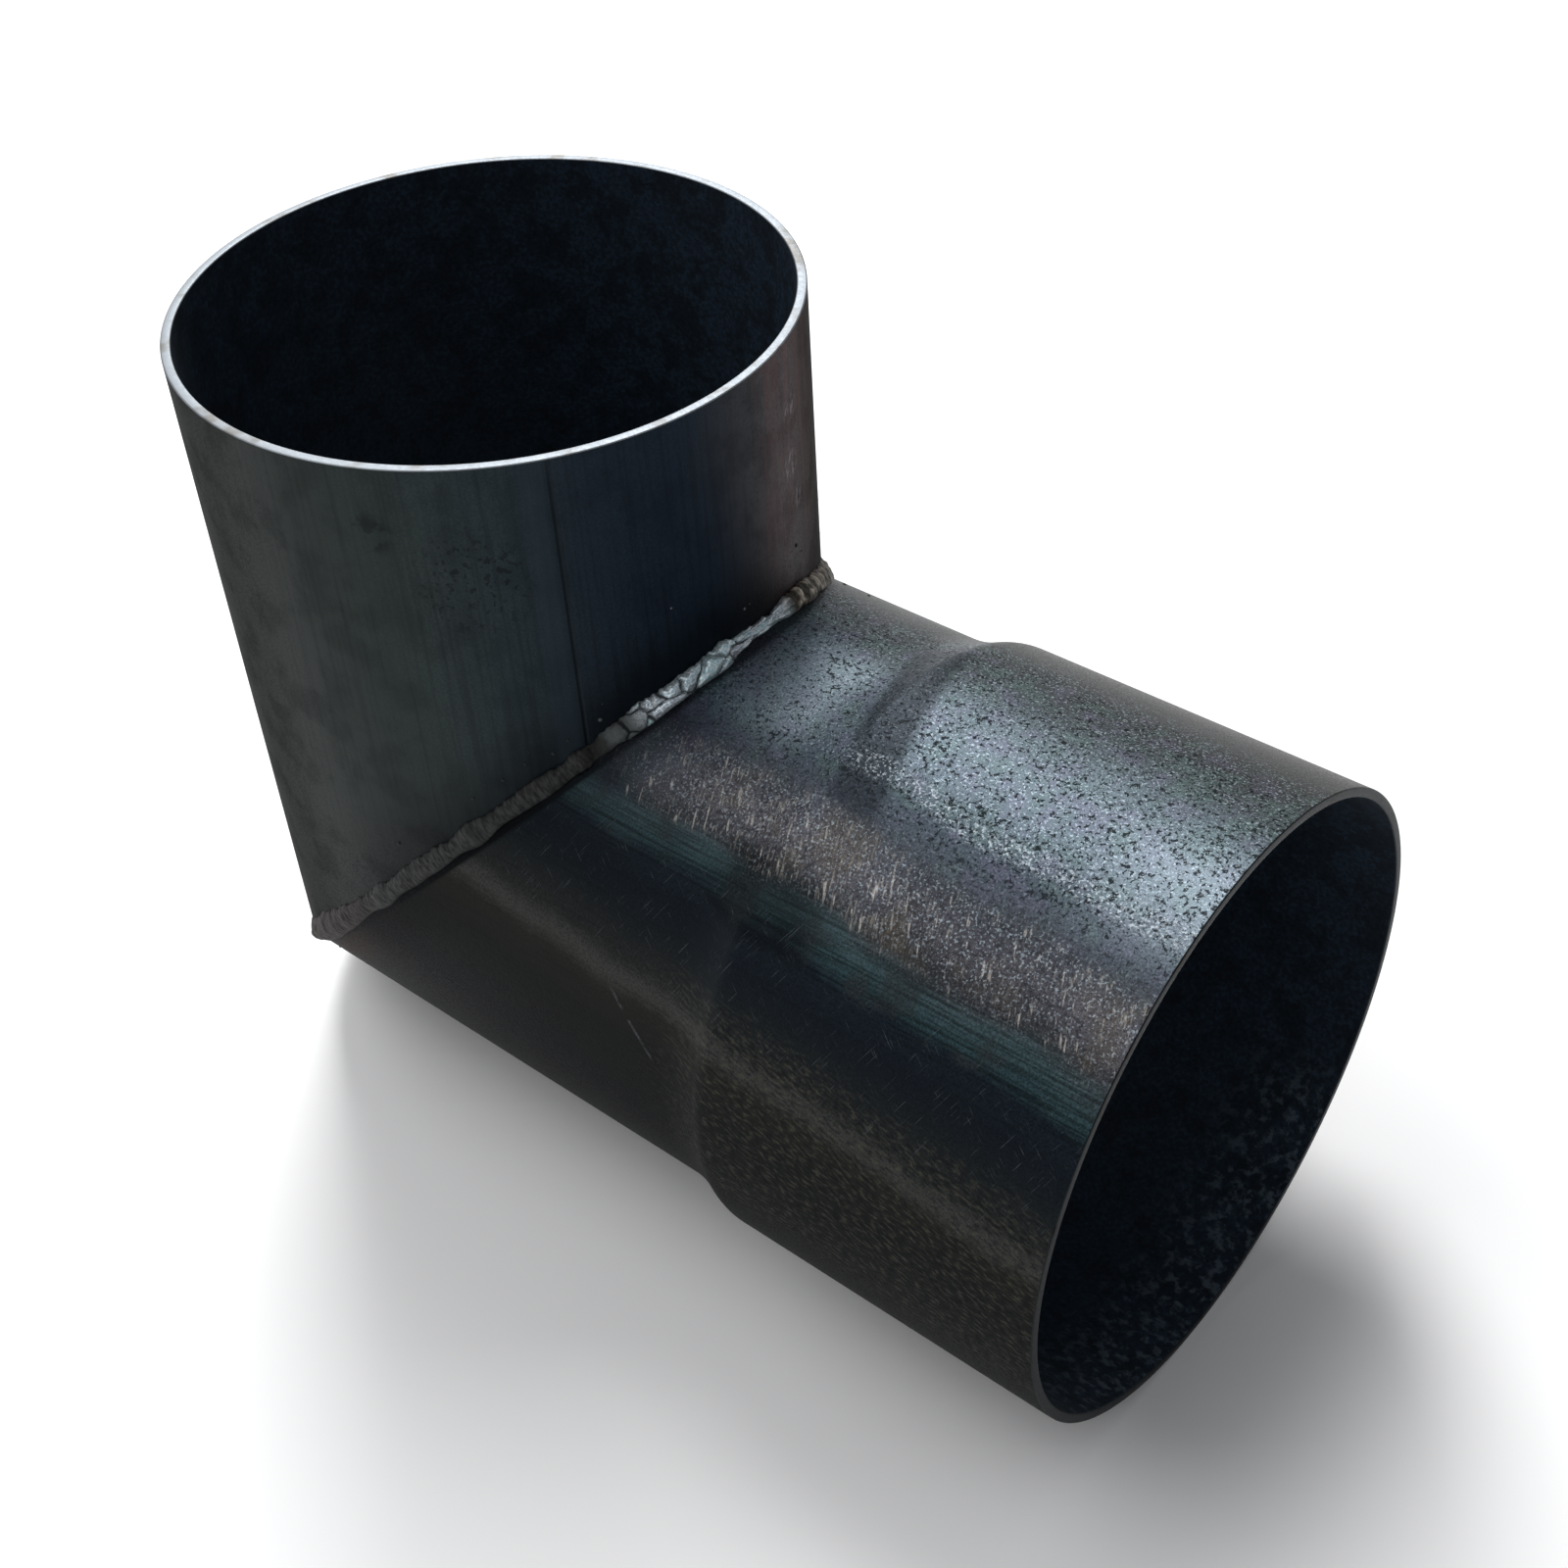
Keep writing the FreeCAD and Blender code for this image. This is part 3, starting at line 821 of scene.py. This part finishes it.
def bead_recipe():
    """Lays fine ripples along the plain part of the bead, overlapping pads with cracks between
    them along the brushed part, thin streaks beyond those and a crust in the inside corner.
    Its noises on a place have scales per metre, so that 170 gives swells of about 6 mm."""
    g = Recipe("weld_ripples_and_pads", {
        "Ripple Pitch": "Float", "Ripple Height": "Float", "Pad Length": "Float", "Pad Height": "Float",
        "Crust Height": "Float", "Roughness Height": "Float", "Seed": "Float", "Material": "Material"})
    given = g.given
    arc_at, across, lift, pads, streaks, crust = (
        g.add("GeometryNodeInputNamedAttribute", label)
        for label in ("arc", "across", "lift", "pads", "streaks", "crust"))
    place = g.add("GeometryNodeInputPosition")

    # ripples: crests bow back towards the toes
    bowed = g.chain(PLUS, arc_at, g.times(across, across, 1.5), g.times(g.add(NOISE, place, 170.0), 4.5))
    phase = g.add(FRACTION, g.add(DIVIDED, bowed, given["Ripple Pitch"]))
    crest = g.add(MINUS, 1.0, g.add(POWER, g.add(SIZE_OF, g.add(MINUS, phase, 0.62)), 1.3))
    worked = g.add(LARGER, pads, g.add(LARGER, streaks, crust))
    ripple = g.times(crest, given["Ripple Height"], g.add(MINUS, 1.0, worked))

    # pads: cells as wide as the bead, each tilted over the one before
    even = g.add(JOIN, g.add(DIVIDED, arc_at, given["Pad Length"]), g.times(across, 0.48), given["Seed"])
    swirl = g.add(NOISE, place, 210.0, 3.0, output="Color")
    swirl = g.add("ShaderNodeVectorMath", swirl, (0.5, 0.5, 0.5), operation="SUBTRACT")
    swirl = g.add("ShaderNodeVectorMath", swirl, (0.5, 0.45, 0.0), operation="MULTIPLY")
    cell_at = g.add("ShaderNodeVectorMath", even, swirl, operation="ADD")
    rim = g.add(CELLS, cell_at, 1.0, Randomness=0.9, feature="DISTANCE_TO_EDGE")
    cell = g.add(CELLS, cell_at, 1.0, Randomness=0.9, feature="F1").node.outputs
    dome = g.add(MINUS, 1.0, g.add(POWER, g.add(RANGE, rim, 0.0, 0.3, 1.0, 0.0), 2.6))
    tall = g.add(SPLIT, cell["Color"])
    tilt = g.add(SPLIT, g.add("ShaderNodeVectorMath", cell_at, cell["Position"], operation="SUBTRACT"))
    pad = g.add(PLUS, g.times(dome, g.add(PLUS, 0.5, g.times(tall, 0.6))), g.times(tilt, 0.7))
    pad = g.times(g.add(MINUS, pad, 0.4), given["Pad Height"], pads)

    # streaks along the bead, lumps of crust, and a fine roughness over it all
    along = g.add(JOIN, g.add(DIVIDED, arc_at, 5.0), g.times(across, 2.6))
    streak = g.times(g.add(MINUS, g.add(NOISE, along, 1.0), 0.5), 3.0, given["Crust Height"], streaks)
    lumps = g.add(MINUS, g.add(NOISE, place, 330.0, 3.0), 0.5)
    lumps = g.times(lumps, 4.0, given["Crust Height"], crust)
    fine = g.add(MINUS, g.add(NOISE, place, 620.0, 3.0), 1.3)
    fine = g.times(g.add(PLUS, g.times(g.add(NOISE, place, 230.0), 1.6), fine), given["Roughness Height"])
    relief = g.chain(PLUS, ripple, pad, g.chain(PLUS, streak, lumps, fine))
    offset = g.add(
        "ShaderNodeVectorMath", g.add("GeometryNodeInputNormal"), g.times(relief, lift), operation="SCALE")
    bead = g.add("GeometryNodeSetPosition", given["Geometry"], Offset=offset)

    # what the weld's material reads
    crack = g.times(g.add(RANGE, rim, 0.0, 0.06, 1.0, 0.0), pads)
    for label, value in (("crack", crack), ("relief", g.times(relief, 1 / MM)), ("tone", tall)):
        bead = g.add("GeometryNodeStoreNamedAttribute", bead, Name=label, Value=value, data_type="FLOAT")
    return g.ends_with(bead)


def spatter_recipe():
    """Scatters small frozen drops over a host surface where its attribute wet is above 0."""
    g = Recipe("weld_spatter", {
        "Density": "Float", "Smallest": "Float", "Largest": "Float", "Seed": "Int", "Material": "Material"})
    given = g.given
    density = g.times(g.add("GeometryNodeInputNamedAttribute", "wet"), given["Density"])
    dots = g.add(
        "GeometryNodeDistributePointsOnFaces", given["Geometry"], Density=density, Seed=given["Seed"],
        distribute_method="RANDOM").node.outputs
    share = g.add("FunctionNodeRandomValue", Min=0.0, Max=1.0, Seed=given["Seed"], data_type="FLOAT")
    size = g.add(RANGE, g.add(POWER, share, 2.2), 0.0, 1.0, given["Smallest"], given["Largest"])
    flattened = g.add("ShaderNodeVectorMath", (1.0, 1.0, 0.7), operation="SCALE", Scale=size)
    drop = g.add("GeometryNodeMeshIcoSphere", 1.0, 3)
    return g.ends_with(g.add(
        "GeometryNodeInstanceOnPoints", dots["Points"], Instance=drop, Rotation=dots["Rotation"],
        Scale=flattened))


def spatter_host(name):
    """Two strips beside the weld. They only say where the drops lie, and aren't shown."""
    turns = np.linspace(-math.pi, math.pi, 361)
    reaches = np.linspace(5.0, 24.0, 12) * MM
    near = np.linspace(1, 0, len(reaches))[:, None] ** 3
    # a few drops all round, most of them by the restart and more towards the inside corner
    spots = 0.12 + hump(np.degrees(turns), -31, 9) + 0.25 * hump(np.degrees(turns), 20, 30)
    vertices, faces = [], []
    for place, way in ((socket_place, -1), (spigot_place, 1)):
        first = len(vertices)
        for reach in reaches:
            vertices += place(TUBE_R * np.cos(turns) + reach * math.sqrt(2), TUBE_R, turns).tolist()
        for row in range(len(reaches) - 1):
            for column in range(len(turns) - 1):
                a = first + row * len(turns) + column
                faces.append((a, a + 1, a + len(turns) + 1, a + len(turns))[::way])
    mesh = bpy.data.meshes.new(name)
    mesh.from_pydata(vertices, [], faces)
    mesh.update()
    add_attribute(mesh, "wet", [near * spots] * 2)
    return mesh


# The elbow

bore_scale = bore_surface()
fresh_cut = cut_surface("filed_rim_bare_steel", "#7f8489", "#6a6a69")
# a darker grey copy of the rim steel, for the socket's mouth
dark_grey_cut = cut_surface("filed_rim_dulled_steel", "#26292b", "#1d1d1d")
weld_metal = weld_surface("weld_metal_as_laid", 1.0)
spatter_metal = weld_surface("weld_spatter_oxidised", 0.25)

shown(build_spigot([riser_scale(), bore_scale, fresh_cut]), "spigot_leg", slot="mill_scale_steel")
shown(build_socket([run_scale(), bore_scale, dark_grey_cut]), "socket_leg", slot="mill_scale_steel")
shown(made_by(bead_recipe(), weld_base("weld_bead"), {
    "Ripple Pitch": 1.7, "Ripple Height": 0.17 * MM, "Pad Length": 7.6, "Pad Height": 1.7 * MM,
    "Crust Height": 0.9 * MM, "Roughness Height": 0.8 * MM, "Seed": 3.7, "Material": weld_metal,
}), "mitre_weld", slot="weld_metal")
shown(made_by(spatter_recipe(), spatter_host("weld_spatter"), {
    "Density": 60000.0, "Smallest": 0.15 * MM, "Largest": 0.55 * MM, "Seed": 12, "Material": spatter_metal,
}), slot="weld_metal")


# Camera, floor and light

def set_camera():
    data = bpy.data.cameras.new("camera")
    data.sensor_width = SENSOR_WIDTH
    data.lens = FOCAL_PX / PHOTO_PX * SENSOR_WIDTH
    camera = placed("camera", data)
    place = CROSSING + CAMERA_PLACE * TUBE_R
    right = CAMERA_RIGHT.normalized()
    back = (CAMERA_BACK - right * CAMERA_BACK.dot(right)).normalized()
    turn = Matrix((right, back.cross(right), back)).transposed()
    camera.matrix_world = Matrix.Translation(place) @ turn.to_4x4()
    bpy.context.scene.camera = camera


def lay_floor():
    mesh = bpy.data.meshes.new("floor")
    corners = [(x * FLOOR_HALF, y * FLOOR_HALF, -SOCKET_R) for x, y in ((-1, -1), (1, -1), (1, 1), (-1, 1))]
    mesh.from_pydata(corners, [], [(0, 1, 2, 3)])
    floor = placed("floor", mesh)
    surface = Surface("plain_pale_floor")
    mesh.materials.append(surface.finish(Base_Color=linear("#f4f4f4"), Roughness=0.9, Specular_IOR_Level=0.0))


def softbox(name, direction, distance, size, radiance):
    """A rectangular lamp that shines on the elbow from that direction."""
    data = bpy.data.lights.new(name, "AREA")
    data.shape = "RECTANGLE"
    data.size, data.size_y = size
    data.energy = radiance * math.pi * size[0] * size[1]
    light = placed(name, data)
    away = Vector(direction).normalized()
    light.location = LAMPS_AIM + away * distance
    light.rotation_mode = "QUATERNION"
    light.rotation_quaternion = away.to_track_quat("Z", "Y")


def surroundings():
    world = bpy.data.worlds.new("studio")
    bpy.context.scene.world = world
    world.use_nodes = True
    world.node_tree.nodes.clear()
    g = Graph(world.node_tree)
    g.add("ShaderNodeOutputWorld", g.add("ShaderNodeBackground", linear("#959698"), 1.0))


set_camera()
lay_floor()
surroundings()
softbox("key", (-0.45, 0.44, 0.78), 3.0, (0.95, 2.8), 12.6)
softbox("fill", (-0.44, -0.36, 0.82), 3.0, (2.4, 2.4), 2.5)
bpy.context.scene.view_settings.view_transform = "Standard"
